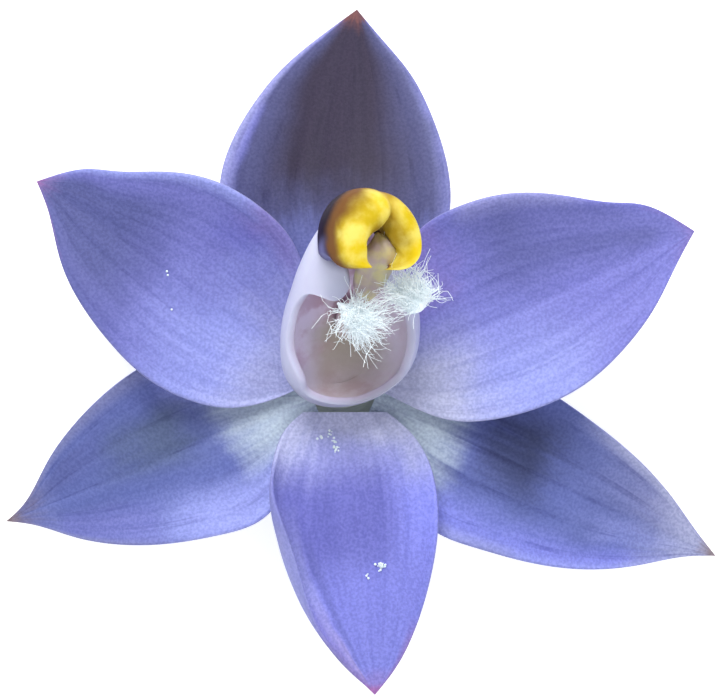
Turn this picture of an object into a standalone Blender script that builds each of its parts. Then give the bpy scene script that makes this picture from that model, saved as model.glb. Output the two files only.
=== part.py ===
"""Sun orchid flower, picked and laid face up on a flat surface.

The frame is in metres with +Z up. +X and +Y are the flower's right and its upper side as seen
from the front, so the dorsal sepal points along +Y. The origin is the centre of the footprint,
on the surface that the flower lies on. Sizes below are in millimetres.

Three sepals make the lower whorl and curve down to rest on their tips. Two petals and the
labellum make the upper whorl. The whorls and the column sit on top of the ovary, which bends
back beneath the labellum and lies on the surface.
"""

import math

import bmesh
import bpy
import numpy as np
from mathutils import Vector

MM = 0.001

SEAT_GAP = 0.1
TEPAL_THICKNESS = 0.3
COLUMN_WALL = 0.32

# The top of the ovary: a disc that carries the tepals, with a boss for the column.
HUB = Vector((-0.6, -1.25))
DISC_TOP = 3.5
DISC_RADIUS = 1.9
BOSS_TOP = 4.1
BOSS_RADIUS = 0.65
BOSS_ROUNDING = 0.08
BOSS_FLARE = 0.05
SEPAL_SEAT = DISC_TOP + SEAT_GAP + TEPAL_THICKNESS
PETAL_SEAT = SEPAL_SEAT + SEAT_GAP + TEPAL_THICKNESS

# Half-widths are given at these shares of a tepal's length, heights at the shares below them.
WIDTH_STATIONS = (0.0, 0.04, 0.12, 0.25, 0.4, 0.55, 0.7, 0.82, 0.92, 1.0)
HEIGHT_STATIONS = (0.0, 0.2, 0.45, 0.7, 1.0)
TEPAL_ROWS = 15
TEPAL_COLUMNS = 6

# left and right are the half-widths on either side of the midrib, seen from the base.
# cup is how far the blade turns up from midrib to margin, and curl what its rim adds, in degrees.
SEPALS = {
    "dorsal_sepal": {
        "base": (-0.56, 0.0),
        "tip": (-0.14, 11.96),
        "left": (0.6, 0.8, 1.7, 3.3, 4.4, 4.35, 3.55, 2.5, 1.2, 0.0),
        "right": (0.6, 0.8, 1.5, 2.7, 3.4, 3.3, 2.7, 1.9, 0.85, 0.0),
        "height": (SEPAL_SEAT, 4.1, 3.9, 2.6, 0.4),
        "cup": (20, 20),
        "curl": (10, 10),
    },
    "left_lateral_sepal": {
        "base": (-1.65, -1.65),
        "tip": (-12.54, -5.97),
        "left": (0.6, 0.9, 1.9, 3.1, 3.15, 2.8, 2.2, 1.4, 0.5, 0.0),
        "right": (0.6, 0.9, 1.9, 3.1, 3.3, 2.95, 2.25, 1.35, 0.4, 0.0),
        "height": (SEPAL_SEAT, 4.0, 3.8, 2.5, 0.4),
        "cup": (18, 18),
        "curl": (10, 10),
    },
    "right_lateral_sepal": {
        "base": (0.45, -1.7),
        "tip": (12.54, -7.19),
        "left": (0.6, 0.9, 1.8, 2.75, 2.8, 2.45, 1.95, 1.3, 0.55, 0.0),
        "right": (0.6, 0.9, 1.9, 3.1, 3.15, 2.85, 2.25, 1.4, 0.5, 0.0),
        "height": (SEPAL_SEAT, 4.0, 3.8, 2.5, 0.4),
        "cup": (18, 18),
        "curl": (10, 10),
    },
}
PETALS = {
    "left_petal": {
        "base": (-1.5, -0.65),
        "tip": (-11.28, 5.95),
        "left": (0.5, 1.3, 2.45, 3.25, 3.45, 3.15, 2.55, 1.7, 0.65, 0.0),
        "right": (0.5, 0.8, 1.7, 3.05, 3.55, 3.5, 2.85, 1.9, 1.05, 0.0),
        "height": (PETAL_SEAT, 4.65, 5.2, 5.3, 4.9),
        "cup": (26, 26),
        "curl": (12, 12),
    },
    "right_petal": {
        "base": (0.3, -0.8),
        "tip": (11.61, 4.22),
        "left": (0.5, 0.8, 1.9, 3.6, 4.05, 3.8, 2.95, 2.0, 1.15, 0.0),
        "right": (0.5, 1.1, 2.2, 3.05, 3.35, 3.2, 2.45, 1.5, 0.55, 0.0),
        "height": (PETAL_SEAT, 4.65, 5.2, 5.3, 4.9),
        "cup": (26, 26),
        "curl": (12, 12),
    },
    "labellum": {
        "base": (-0.5, -2.1),
        "tip": (0.49, -11.96),
        "left": (1.0, 1.75, 2.4, 2.75, 2.75, 2.45, 1.95, 1.4, 0.75, 0.0),
        "right": (1.0, 1.95, 2.5, 2.8, 2.7, 2.4, 1.9, 1.3, 0.65, 0.0),
        "height": (PETAL_SEAT, 4.75, 4.9, 4.5, 3.7),
        "cup": (26, 20),
        "curl": (12, 130),
    },
}

# Points on the ovary's centreline below the hub, with the radius there.
OVARY_PATH = (
    (0.0, 0.0, DISC_TOP),
    (0.0, -0.05, 3.1),
    (0.02, -0.4, 2.4),
    (0.08, -1.5, 1.65),
    (0.2, -3.6, 1.4),
    (0.35, -6.0, 1.3),
    (0.5, -8.0, 0.85),
    (0.55, -9.3, 0.62),
)
OVARY_RADII = (DISC_RADIUS, 1.6, 1.35, 1.45, 1.5, 1.35, 0.85, 0.62)
OVARY_RIBS = 6
OVARY_RIB_DEPTH = 0.05
OVARY_SIDES = 24
OVARY_ROWS = 22

# The hood's own straight axis, and how far its open side leans from straight down.
HOOD_BACK = (-0.2, 3.65, 9.15)
HOOD_FRONT = (0.72, 4.05, 11.3)
HOOD_LEAN = 0.0
HOOD_OUTER = 1.45
# The column's centreline, from its foot to the collar of its hood.
COLUMN_PATH = (
    (-0.56, -1.15, BOSS_TOP + SEAT_GAP + 0.2),
    (-0.53, -0.8, 5.2),
    (-0.41, 0.26, 6.5),
    (-0.31, 2.66, 8.2),
    (-0.24, 3.63, 9.06),
)
# From this share on, the column turns until it meets the hood square on.
COLLAR_TURN_START = 0.72
COLUMN_YAW = 20
CUP_END = 1.0
CUP_FLOOR = 0.06
CUP_STATIONS = (0.0, 0.045, 0.12, 0.22, 0.4, 0.6, 0.8, 1.0)
CUP_RADII = (0.75, 0.95, 1.45, 2.05, 2.45, 2.35, 1.95, 1.35)
CUP_FRONT_DEPTH = (0.8, 0.8, 0.8, 0.8, 0.8, 0.75, 0.65, 0.6)
CUP_BACK_DEPTH = (0.7, 0.6, 0.5, 0.5, 0.6, 0.7, 0.8, 1.0)
MOUTH_STATIONS = (0.19, 0.22, 0.3, 0.44, 0.58, 0.67, 0.74, 0.82, 1.0)
MOUTH_ANGLES = (0.0, 24, 46, 68, 76, 74, 58, 42, 34)
CUP_ROWS = 26
CUP_COLUMNS = 30

HOOD_HALF_TURN = 162
HOOD_SEGMENTS = 26
# The hood's inner radius at these shares of the turn from its top to its free ends.
HOOD_INNER_STATIONS = (0, 0.28, 0.55, 0.68, 0.8, 0.93, 1.0)
HOOD_INNER = (0.18, 0.29, 0.31, 0.5, 0.82, 0.97, 1.0)
HOOD_CREASE = 0.08
HOOD_CREASE_TURN = 9
HOOD_THINNING = 0.12
HOOD_COLLAR_WALL = 0.45

# Each arm leaves the edge of the pouch beneath the hood and swells into its tuft of hairs.
LEFT_ARM = ((-0.98, 1.92, 9.0), (-0.5, 1.62, 9.45), (0.1, 1.1, 10.1), (0.45, 0.6, 10.7))
RIGHT_ARM = ((1.28, 2.08, 8.45), (1.5, 1.95, 9.15), (1.95, 1.88, 9.95), (2.4, 1.8, 10.6))
TUFT_SIDES = 24
TUFT_LOBES = 8
TUFT_LOBE_DEPTH = 0.1
ARM_RADII = (0.0, 0.2, 0.25, 0.27, 0.3, 0.38, 0.52, 0.68, 0.8, 0.87, 0.88, 0.82, 0.65, 0.38, 0.0)

# Share along the column, offset to its right and to its front. Halves are sizes from the middle:
# across the column, along it and out of its front.
ANTHER_AT = (0.79, 0.22, 0.45)
ANTHER_HALVES = (0.5, 0.85, 0.35)
STIGMA_AT = (0.4, -0.1, -0.65)
STIGMA_HALVES = (0.9, 1.05, 0.2)
ANTHER_GROOVE = 0.35
CUSHION_RINGS = 12
CUSHION_SIDES = 20


def spline(knots, values, at):
    """Natural cubic spline through (knots, values), read at the given places."""
    x = np.asarray(knots, float)
    y = np.asarray(values, float)
    gap = np.diff(x)
    system = np.eye(len(x))
    slopes = np.zeros_like(y)
    for i in range(1, len(x) - 1):
        system[i, i - 1 : i + 2] = gap[i - 1], 2 * (gap[i - 1] + gap[i]), gap[i]
        slopes[i] = 6 * ((y[i + 1] - y[i]) / gap[i] - (y[i] - y[i - 1]) / gap[i - 1])
    curve = np.linalg.solve(system, slopes)
    at = np.asarray(at, float)
    k = np.clip(np.searchsorted(x, at, "right") - 1, 0, len(x) - 2)
    before = (at - x[k]).reshape(at.shape + (1,) * (y.ndim - 1))
    after = (x[k + 1] - at).reshape(at.shape + (1,) * (y.ndim - 1))
    h = gap[k].reshape(before.shape)
    cubic = (curve[k] * after**3 + curve[k + 1] * before**3) / (6 * h)
    return cubic + (y[k] / h - curve[k] * h / 6) * after + (y[k + 1] / h - curve[k + 1] * h / 6) * before


def path_at(points, shares):
    """Points at shares 0 to 1 of the length of a smooth curve through the given points."""
    points = np.asarray(points, float)
    lengths = np.concatenate([[0], np.cumsum(np.linalg.norm(np.diff(points, axis=0), axis=1))])
    return spline(lengths / lengths[-1], points, shares)


def make_material(name, color, roughness, subsurface=0.0):
    material = bpy.data.materials.new(name)
    material.use_nodes = True
    shader = material.node_tree.nodes["Principled BSDF"]
    shader.inputs["Base Color"].default_value = (*color, 1.0)
    shader.inputs["Roughness"].default_value = roughness
    shader.inputs["Metallic"].default_value = 0.0
    shader.inputs["Subsurface Weight"].default_value = subsurface
    material.diffuse_color = (*color, 1.0)
    return material


def make_object(name, mesh_builder, material, parent):
    """Turns a bmesh in millimetres into a named, smooth-shaded object in metres."""
    bmesh.ops.scale(mesh_builder, vec=(MM, MM, MM), verts=mesh_builder.verts)
    mesh = bpy.data.meshes.new(name)
    mesh_builder.to_mesh(mesh)
    mesh_builder.free()
    mesh.shade_smooth()
    mesh.materials.append(material)
    obj = bpy.data.objects.new(name, mesh)
    bpy.context.scene.collection.objects.link(obj)
    obj.parent = parent
    return obj


def add_grid(builder, rows, close_columns=False):
    """Adds quads between rows of points. Points that coincide, at a pole or a seam, become one."""
    made = {}

    def vertex(point):
        key = tuple(round(float(c), 4) for c in point)
        if key not in made:
            made[key] = builder.verts.new(point)
        return made[key]

    verts = [[vertex(point) for point in row] for row in rows]
    for lower, upper in zip(verts, verts[1:]):
        count = len(lower)
        for j in range(count if close_columns else count - 1):
            k = (j + 1) % count
            corners = list(dict.fromkeys((lower[j], lower[k], upper[k], upper[j])))
            if len(corners) > 2:
                builder.faces.new(corners)
    return verts


def grid_mesh(rows, close_columns=False):
    builder = bmesh.new()
    add_grid(builder, rows, close_columns)
    bmesh.ops.recalc_face_normals(builder, faces=builder.faces)
    return builder


def walled_mesh(outer_rows, inner_rows):
    """A wall between two grids of the same shape, closed along their free edges."""
    builder = bmesh.new()
    outer = add_grid(builder, outer_rows)
    edges = [e for e in builder.edges if len(e.link_faces) == 1]
    inner = add_grid(builder, inner_rows)
    partner = {a: b for row, other in zip(outer, inner) for a, b in zip(row, other)}
    for edge in edges:
        start, end = edge.verts
        builder.faces.new((start, end, partner[end], partner[start]))
    bmesh.ops.recalc_face_normals(builder, faces=builder.faces)
    return builder


def thicken(obj, thickness):
    """Gives a sheet its thickness on the side away from its normals."""
    solidify = obj.modifiers.new("thickness", "SOLIDIFY")
    solidify.thickness = thickness * MM
    solidify.offset = -1
    return obj


def face_normals_to(builder, direction):
    """Turns a whole sheet over if its faces look away from the direction."""
    total = sum((f.normal * f.calc_area() for f in builder.faces), Vector())
    if total.dot(Vector(direction)) < 0:
        bmesh.ops.reverse_faces(builder, faces=builder.faces)


def cross_section(half_width, cup, curl, steps):
    """(across, rise) from midrib to margin, of a blade that turns up by cup and its rim by curl."""
    share = np.linspace(0, 1, steps + 1)
    rim = np.clip((share - 0.6) / 0.4, 0, 1)
    turn = np.radians(cup * share + curl * rim)
    middle = (turn[1:] + turn[:-1]) / 2
    across = np.concatenate([[0], np.cumsum(np.cos(middle))])
    rise = np.concatenate([[0], np.cumsum(np.sin(middle))])
    return across * half_width / across.max(), rise * half_width / across.max()


def tepal(name, spec, material, parent):
    """One sepal or petal: a thin blade that is cupped across and follows a height profile along."""
    base = np.array(spec["base"])
    along = np.array(spec["tip"]) - base
    side = np.array((-along[1], along[0])) / np.linalg.norm(along)
    stations = (1 - np.cos(np.linspace(0, math.pi, TEPAL_ROWS + 1))) / 2
    halves = [np.clip(spline(WIDTH_STATIONS, spec[s], stations), 0, None) for s in ("left", "right")]
    heights = spline(HEIGHT_STATIONS, spec["height"], stations)
    rows = []
    for i, t in enumerate(stations):
        # The blade is flat at its claw and at its very tip.
        row = []
        for sign, half, cup, curl in zip((1, -1), halves, spec["cup"], spec["curl"]):
            open_turn = math.sin(math.pi * t)
            across, rise = cross_section(half[i], cup * open_turn, curl * open_turn, TEPAL_COLUMNS)
            points = [
                (*(base + along * t + side * sign * q), heights[i] + z) for q, z in zip(across, rise)
            ]
            row = row + points[1:] if sign < 0 else points[::-1]
        rows.append(row)
    builder = grid_mesh(rows)
    face_normals_to(builder, (0, 0, 1))
    return thicken(make_object(name, builder, material, parent), TEPAL_THICKNESS)


def droop_to_surface(obj, spec):
    """Bends a sepal a little further down towards its tip, until the tip rests on the surface."""
    bpy.context.view_layer.update()
    evaluated = obj.evaluated_get(bpy.context.evaluated_depsgraph_get())
    lowest = min(v.co.z for v in evaluated.data.vertices)
    base = np.array(spec["base"]) * MM
    along = np.array(spec["tip"]) * MM - base
    for vert in obj.data.vertices:
        share = (np.array(vert.co.xy) - base).dot(along) / along.dot(along)
        vert.co.z -= lowest * max(share, 0) ** 2


def ovary(material, parent):
    """The inferior ovary and its short stalk: a ribbed body under a disc, flat where it lies."""
    shares = np.linspace(0, 1, OVARY_ROWS + 1)
    centres = path_at(OVARY_PATH, shares) + np.array((HUB.x, HUB.y, 0))
    points = np.asarray(OVARY_PATH)
    lengths = np.concatenate([[0], np.cumsum(np.linalg.norm(np.diff(points, axis=0), axis=1))])
    knots = lengths / lengths[-1]
    radii = spline(knots, OVARY_RADII, shares)
    tangents = np.gradient(centres, axis=0)
    rows = []
    top = np.array((HUB.x, HUB.y, BOSS_TOP))
    angles = np.linspace(0, 2 * math.pi, OVARY_SIDES, endpoint=False)
    circle = np.stack([np.cos(angles), np.sin(angles), np.zeros(OVARY_SIDES)], axis=1)
    rows.append([top] * OVARY_SIDES)
    rows.append(top + circle * BOSS_RADIUS * 0.9)
    rows.append(top - (0, 0, BOSS_ROUNDING) + circle * BOSS_RADIUS)
    rows.append(top - (0, 0, BOSS_TOP - DISC_TOP) + circle * (BOSS_RADIUS + BOSS_FLARE))
    tangents[0] = (0, 0, -1)
    for centre, radius, tangent, share in zip(centres, radii, tangents, shares):
        forward = tangent / np.linalg.norm(tangent)
        right = np.array((1.0, 0, 0)) - forward * forward[0]
        right /= np.linalg.norm(right)
        rib = OVARY_RIB_DEPTH * math.sin(math.pi * min(1, share * 1.4)) ** 2
        reach = radius * (1 + rib * np.cos(OVARY_RIBS * angles))
        ring = np.outer(reach * np.cos(angles), right)
        ring += centre + np.outer(reach * np.sin(angles), np.cross(right, forward))
        ring[:, 2] = np.maximum(ring[:, 2], 0)
        rows.append(ring)
    rows.append([centres[-1]] * OVARY_SIDES)
    return make_object("ovary", grid_mesh(rows, close_columns=True), material, parent)


def unit(vector):
    return vector / np.linalg.norm(vector)


def column_frame(share):
    """Centre, right and front directions of the column at a share of its length."""
    fine = np.linspace(0, 1, 201)
    line = path_at(COLUMN_PATH, fine)
    slope = np.gradient(line, axis=0)
    forward = unit(np.array([np.interp(share, fine, slope[:, k]) for k in range(3)]))
    centre = np.array([np.interp(share, fine, line[:, k]) for k in range(3)])
    hood_axis = unit(np.subtract(HOOD_FRONT, HOOD_BACK))
    turned = np.clip((share - COLLAR_TURN_START) / (1 - COLLAR_TURN_START), 0, 1)
    forward = unit(forward + turned * (hood_axis - forward))
    facing = np.array((math.sin(math.radians(COLUMN_YAW)), -0.7, 0.7))
    front = unit(facing - forward * facing.dot(forward))
    return centre, np.cross(forward, front), front


def around(frame, angle, side_reach, front_reach, back_reach):
    """A point round a centre at an angle in degrees from its back, on an oval of three reaches."""
    centre, right, front = frame
    turn = math.radians(angle)
    depth = back_reach if math.cos(turn) > 0 else front_reach
    return centre + math.sin(turn) * side_reach * right - math.cos(turn) * depth * front


def column_cup(material, parent):
    """The column's wings: a pouch with a rounded foot whose mouth faces the labellum."""
    closed = np.linspace(0, MOUTH_STATIONS[0], 7)
    shares = np.concatenate([closed, np.linspace(closed[-1], CUP_END, CUP_ROWS - 6)[1:]])
    mouths = np.clip(spline(MOUTH_STATIONS, MOUTH_ANGLES, shares), 0, None)
    mouths[: len(closed)] = 0
    layers = []
    for wall, floor in ((0, 0), (COLUMN_WALL, CUP_FLOOR)):
        raised = shares + floor * np.clip(1 - shares / closed[-1], 0, 1)
        radii = spline(CUP_STATIONS, CUP_RADII, raised)
        fronts = radii * spline(CUP_STATIONS, CUP_FRONT_DEPTH, raised) - wall
        backs = radii * spline(CUP_STATIONS, CUP_BACK_DEPTH, raised) - wall
        rows = [[column_frame(raised[0])[0]] * (CUP_COLUMNS + 1)]
        for share, *reaches, mouth in zip(raised, radii - wall, fronts, backs, mouths):
            frame = column_frame(share)
            angles = np.linspace(mouth - 180, 180 - mouth, CUP_COLUMNS + 1)
            rows.append([around(frame, angle, *reaches) for angle in angles])
        layers.append(rows)
    return make_object("column_cup", walled_mesh(*layers), material, parent)


def hood_profile(turn):
    """(radius, share of length) round the hood's wall at a turn from its top, as a closed loop."""
    side = abs(turn) / HOOD_HALF_TURN
    crease = HOOD_CREASE * math.exp(-((turn / HOOD_CREASE_TURN) ** 2))
    outer = HOOD_OUTER - crease - HOOD_THINNING * side**3
    inner = spline(HOOD_INNER_STATIONS, HOOD_INNER, [side])[0]
    middle = (outer + inner) / 2
    return (
        (outer - 0.1, 0.0),
        (outer - 0.03, 0.35),
        (outer, 0.7),
        (outer - 0.08, 0.9),
        (middle, 1.0),
        (inner + 0.08, 0.93),
        (inner, 0.8),
        (max(inner, outer - 0.75), 0.45),
        (outer - HOOD_COLLAR_WALL, 0.0),
    )


def column_hood(material, parent):
    """The lobe over the anther: a swollen horseshoe with a collar, open towards the labellum."""
    back, front = np.array(HOOD_BACK), np.array(HOOD_FRONT)
    forward = unit(front - back)
    open_side = np.array((HOOD_LEAN, -1.0, 0.0))
    open_side = unit(open_side - forward * forward.dot(open_side))
    right = np.cross(forward, open_side)
    turns = np.linspace(-HOOD_HALF_TURN, HOOD_HALF_TURN, HOOD_SEGMENTS + 1)
    rows = []
    for turn in turns:
        profile = hood_profile(turn)
        rows.append(
            [
                around((back + (front - back) * share, right, open_side), turn, r, r, r)
                for r, share in profile
            ]
        )
    ends = [[np.mean(rows[end], axis=0)] * len(rows[end]) for end in (0, -1)]
    rows = [ends[0], *rows, ends[1]]
    return make_object("column_hood", grid_mesh(rows, close_columns=True), material, parent)


def lobed_tube(path, radii, sides, lobes, lobe_depth):
    """Rings of points round a smooth path, lobed across, closing to a point at both ends."""
    shares = np.linspace(0, 1, len(radii))
    centres = path_at(path, shares)
    forward = unit(np.subtract(path[-1], path[0]))
    right = unit(np.cross(forward, (0.0, 1.0, 0.3)))
    up = np.cross(right, forward)
    angles = np.linspace(0, 2 * math.pi, sides, endpoint=False)
    rings = []
    for centre, radius, share in zip(centres, radii, shares):
        reach = radius * (1 + lobe_depth * share * np.cos(lobes * angles))
        ring = np.outer(reach * np.cos(angles), right) + np.outer(reach * np.sin(angles), up)
        rings.append(centre + ring)
    return rings


def hair_tuft(name, path, radii, material, parent):
    """A side arm of the column that ends in a brush of hairs, here one lobed mass."""
    rings = lobed_tube(path, radii, TUFT_SIDES, TUFT_LOBES, TUFT_LOBE_DEPTH)
    return make_object(name, grid_mesh(rings, close_columns=True), material, parent)


def cushion(name, place, half_sizes, material, parent, groove=0.0):
    """A rounded pad that lies along the column, with a groove down its front if one is asked for."""
    centre, right, front = column_frame(place[0])
    middle = centre + place[1] * right + place[2] * front
    along = np.cross(front, right)
    rings = []
    for polar in np.linspace(0, math.pi, CUSHION_RINGS + 1):
        ring = []
        for turn in np.linspace(0, 2 * math.pi, CUSHION_SIDES, endpoint=False):
            x = math.sin(polar) * math.sin(turn)
            depth = math.sin(polar) * math.cos(turn)
            if depth > 0:
                depth *= 1 - groove * math.exp(-((x / 0.25) ** 2))
            point = x * half_sizes[0] * right + math.cos(polar) * half_sizes[1] * along
            ring.append(middle + point + depth * half_sizes[2] * front)
        rings.append(ring)
    return make_object(name, grid_mesh(rings, close_columns=True), material, parent)


def clear_scene():
    for obj in list(bpy.data.objects):
        bpy.data.objects.remove(obj)


def build_flower():
    clear_scene()
    sepal_skin = make_material("sepal_skin", (0.17, 0.19, 0.45), 0.55)
    petal_skin = make_material("petal_skin", (0.25, 0.26, 0.68), 0.5)
    green_flesh = make_material("green_flesh", (0.25, 0.4, 0.16), 0.5)
    wing_flesh = make_material("wing_flesh", (0.62, 0.57, 0.76), 0.4, 0.3)
    hood_flesh = make_material("hood_flesh", (0.95, 0.72, 0.02), 0.35)
    hair_mass = make_material("hair_mass", (0.85, 0.88, 0.95), 0.6)
    anther_flesh = make_material("anther_flesh", (0.42, 0.4, 0.28), 0.55)
    flower = bpy.data.objects.new("flower", None)
    bpy.context.scene.collection.objects.link(flower)
    ovary(green_flesh, flower)
    for name, spec in SEPALS.items():
        droop_to_surface(tepal(name, spec, sepal_skin, flower), spec)
    for name, spec in PETALS.items():
        tepal(name, spec, petal_skin, flower)
    column_cup(wing_flesh, flower)
    column_hood(hood_flesh, flower)
    hair_tuft("left_hair_tuft", LEFT_ARM, ARM_RADII, hair_mass, flower)
    hair_tuft("right_hair_tuft", RIGHT_ARM, ARM_RADII, hair_mass, flower)
    cushion("anther", ANTHER_AT, ANTHER_HALVES, anther_flesh, flower, groove=ANTHER_GROOVE)
    cushion("stigma", STIGMA_AT, STIGMA_HALVES, anther_flesh, flower)


build_flower()
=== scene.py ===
# Sun orchid flower, picked and laid face up. Lengths are in millimetres until a mesh is made.
import math
import random

import bmesh
import bpy
import numpy as np
from mathutils import Matrix, Vector


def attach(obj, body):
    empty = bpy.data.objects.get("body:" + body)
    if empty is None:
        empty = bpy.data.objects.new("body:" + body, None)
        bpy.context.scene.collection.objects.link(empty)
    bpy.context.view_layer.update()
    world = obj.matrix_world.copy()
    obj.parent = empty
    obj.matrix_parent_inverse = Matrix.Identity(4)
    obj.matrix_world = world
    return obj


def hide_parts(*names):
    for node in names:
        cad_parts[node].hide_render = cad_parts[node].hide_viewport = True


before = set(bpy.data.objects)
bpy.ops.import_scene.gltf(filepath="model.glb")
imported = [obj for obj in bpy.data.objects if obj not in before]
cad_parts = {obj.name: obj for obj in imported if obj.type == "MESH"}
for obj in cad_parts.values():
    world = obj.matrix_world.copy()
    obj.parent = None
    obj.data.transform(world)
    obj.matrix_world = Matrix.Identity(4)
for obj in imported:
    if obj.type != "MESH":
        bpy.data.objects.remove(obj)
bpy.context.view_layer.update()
mm = 0.001


# Curves

def unit(vector):
    return vector / np.linalg.norm(vector)


def ramp(value, start, end):  # 0 to 1 as the value goes from start to end
    return np.clip((value - start) / (end - start), 0, 1)


def swell(value, middle, width):  # 1 at the middle, fading away on both sides
    return np.exp(-(((value - middle) / width) ** 2))


def smoothCurve(knots, values, at):  # natural cubic spline
    x, y, at = np.asarray(knots, float), np.asarray(values, float), np.asarray(at, float)
    gap = np.diff(x)
    system, slopes = np.eye(len(x)), np.zeros_like(y)
    for i in range(1, len(x) - 1):
        system[i, i - 1 : i + 2] = gap[i - 1], 2 * (gap[i - 1] + gap[i]), gap[i]
        slopes[i] = 6 * ((y[i + 1] - y[i]) / gap[i] - (y[i] - y[i - 1]) / gap[i - 1])
    bend = np.linalg.solve(system, slopes)
    k = np.clip(np.searchsorted(x, at, "right") - 1, 0, len(x) - 2)
    shape = at.shape + (1,) * (y.ndim - 1)
    before, after, h = (v.reshape(shape) for v in (at - x[k], x[k + 1] - at, gap[k]))
    cubic = (bend[k] * after**3 + bend[k + 1] * before**3) / (6 * h)
    return cubic + (y[k] / h - bend[k] * h / 6) * after + (y[k + 1] / h - bend[k + 1] * h / 6) * before


def lengthShares(points):  # how far along its path each point lies, from 0 to 1
    steps = np.linalg.norm(np.diff(points, axis=0), axis=1)
    lengths = np.concatenate([[0], np.cumsum(steps)])
    return lengths / lengths[-1]


def pathPoints(points, shares):
    points = np.asarray(points, float)
    return smoothCurve(lengthShares(points), points, shares)


def circleAngles(count):
    return np.linspace(0, 2 * math.pi, count, endpoint=False)


def nodePoints(node):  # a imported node's points
    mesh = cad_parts[node].data
    points = np.empty(len(mesh.vertices) * 3)
    mesh.vertices.foreach_get("co", points)
    return points.reshape(-1, 3) / mm


# Mesh making

samePoint = 4  # coordinates that agree to so many decimals are one point


def newObject(name, data):
    obj = bpy.data.objects.new(name, data)
    bpy.context.scene.collection.objects.link(obj)
    return obj


def newBuilder(names):
    builder = bmesh.new()
    for name in names:
        builder.verts.layers.float.new(name)
    return builder


def addGrid(builder, rows, marks, closeAcross=False):  # marks are values kept with the points
    layers = {name: builder.verts.layers.float.get(name) for name in marks}
    made = {}
    grid = []
    for i, row in enumerate(rows):
        line = []
        for j, point in enumerate(row):
            key = tuple(round(float(c), samePoint) for c in point)
            if key not in made:
                made[key] = builder.verts.new(point)
                for name, layer in layers.items():
                    made[key][layer] = float(marks[name][i][j])
            line.append(made[key])
        grid.append(line)
    for lower, upper in zip(grid, grid[1:]):
        count = len(lower)
        for j in range(count if closeAcross else count - 1):
            k = (j + 1) % count
            corners = list(dict.fromkeys((lower[j], lower[k], upper[k], upper[j])))
            if len(corners) > 2:
                builder.faces.new(corners)
    return grid


def finishMesh(name, builder, material):
    bmesh.ops.recalc_face_normals(builder, faces=builder.faces)
    bmesh.ops.scale(builder, vec=(mm, mm, mm), verts=builder.verts)
    mesh = bpy.data.meshes.new(name)
    builder.to_mesh(mesh)
    builder.free()
    mesh.shade_smooth()
    mesh.materials.append(material)
    return newObject(name, mesh)


def closedSkin(name, rows, marks, material):  # a grid closed across, with a pole at each end
    builder = newBuilder(marks)
    addGrid(builder, rows, marks, closeAcross=True)
    return finishMesh(name, builder, material)


def walledSkin(name, outer, inner, marks, material):  # a wall between two grids of one shape
    builder = newBuilder([*marks, "inside"])
    flat = np.zeros(np.asarray(outer).shape[:2])
    outerGrid = addGrid(builder, outer, {**marks, "inside": flat})
    edges = [e for e in builder.edges if len(e.link_faces) == 1]
    innerGrid = addGrid(builder, inner, {**marks, "inside": flat + 1})
    partner = {a: b for row, other in zip(outerGrid, innerGrid) for a, b in zip(row, other)}
    for edge in edges:
        start, end = edge.verts
        builder.faces.new((start, end, partner[end], partner[start]))
    return finishMesh(name, builder, material)


def addSubdivision(obj, levels):
    modifier = obj.modifiers.new("smooth", "SUBSURF")
    modifier.levels = modifier.render_levels = levels
    return obj


def place(obj, slot, *nodes):
    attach(obj, "root")
    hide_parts(*nodes)
    return obj


# Node helpers

def addNode(tree, kind, inputs=None, **settings):
    node = tree.nodes.new(kind)
    for name, value in settings.items():
        setattr(node, name, value)
    for socket, value in (inputs or {}).items():
        if isinstance(value, bpy.types.NodeSocket):
            tree.links.new(value, node.inputs[socket])
        else:
            node.inputs[socket].default_value = value
    return node


def calc(tree, operation, a, b=0.0):
    return addNode(tree, "ShaderNodeMath", {0: a, 1: b}, operation=operation).outputs[0]


def product(tree, first, *others):
    for other in others:
        first = calc(tree, "MULTIPLY", first, other)
    return first


def nudge(tree, value, by, amount):  # the value plus so much of another one
    return calc(tree, "ADD", value, product(tree, by, amount))


def vectorCalc(tree, operation, a, b=None, scale=None):
    given = {0: a, 1: b, "Scale": scale}
    inputs = {socket: value for socket, value in given.items() if value is not None}
    output = "Value" if operation in ("LENGTH", "DOT_PRODUCT") else "Vector"
    return addNode(tree, "ShaderNodeVectorMath", inputs, operation=operation).outputs[output]


def ease(tree, value, start, end):  # 0 to 1 as the value goes from start to end
    inputs = {"Value": value, "From Min": start, "From Max": end}
    node = addNode(tree, "ShaderNodeMapRange", inputs, interpolation_type="SMOOTHSTEP")
    return node.outputs["Result"]


def fall(tree, value, start, end):  # 1 to 0 as the value goes from start to end
    return calc(tree, "SUBTRACT", 1.0, ease(tree, value, start, end))


def span(tree, value, edges):  # up between the first two edges, down again between the last two
    return product(tree, ease(tree, value, *edges[:2]), fall(tree, value, *edges[2:]))


def blend(tree, amount, a, b, kind="MIX"):
    inputs = {0: amount}
    for socket, colour in ((6, a), (7, b)):
        inputs[socket] = (*colour, 1) if isinstance(colour, tuple) else colour
    return addNode(tree, "ShaderNodeMix", inputs, data_type="RGBA", blend_type=kind).outputs[2]


def wash(tree, colour, tone, where, strength):  # lays a tone over a colour
    return blend(tree, product(tree, where, strength), colour, tone)


def mark(tree, name):
    return addNode(tree, "ShaderNodeAttribute", attribute_name=name).outputs["Fac"]


def placeInMm(tree):
    coords = addNode(tree, "ShaderNodeTexCoord").outputs["Object"]
    inputs = {"Vector": coords, "Scale": (1 / mm, 1 / mm, 1 / mm)}
    return addNode(tree, "ShaderNodeMapping", inputs).outputs[0]


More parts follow.
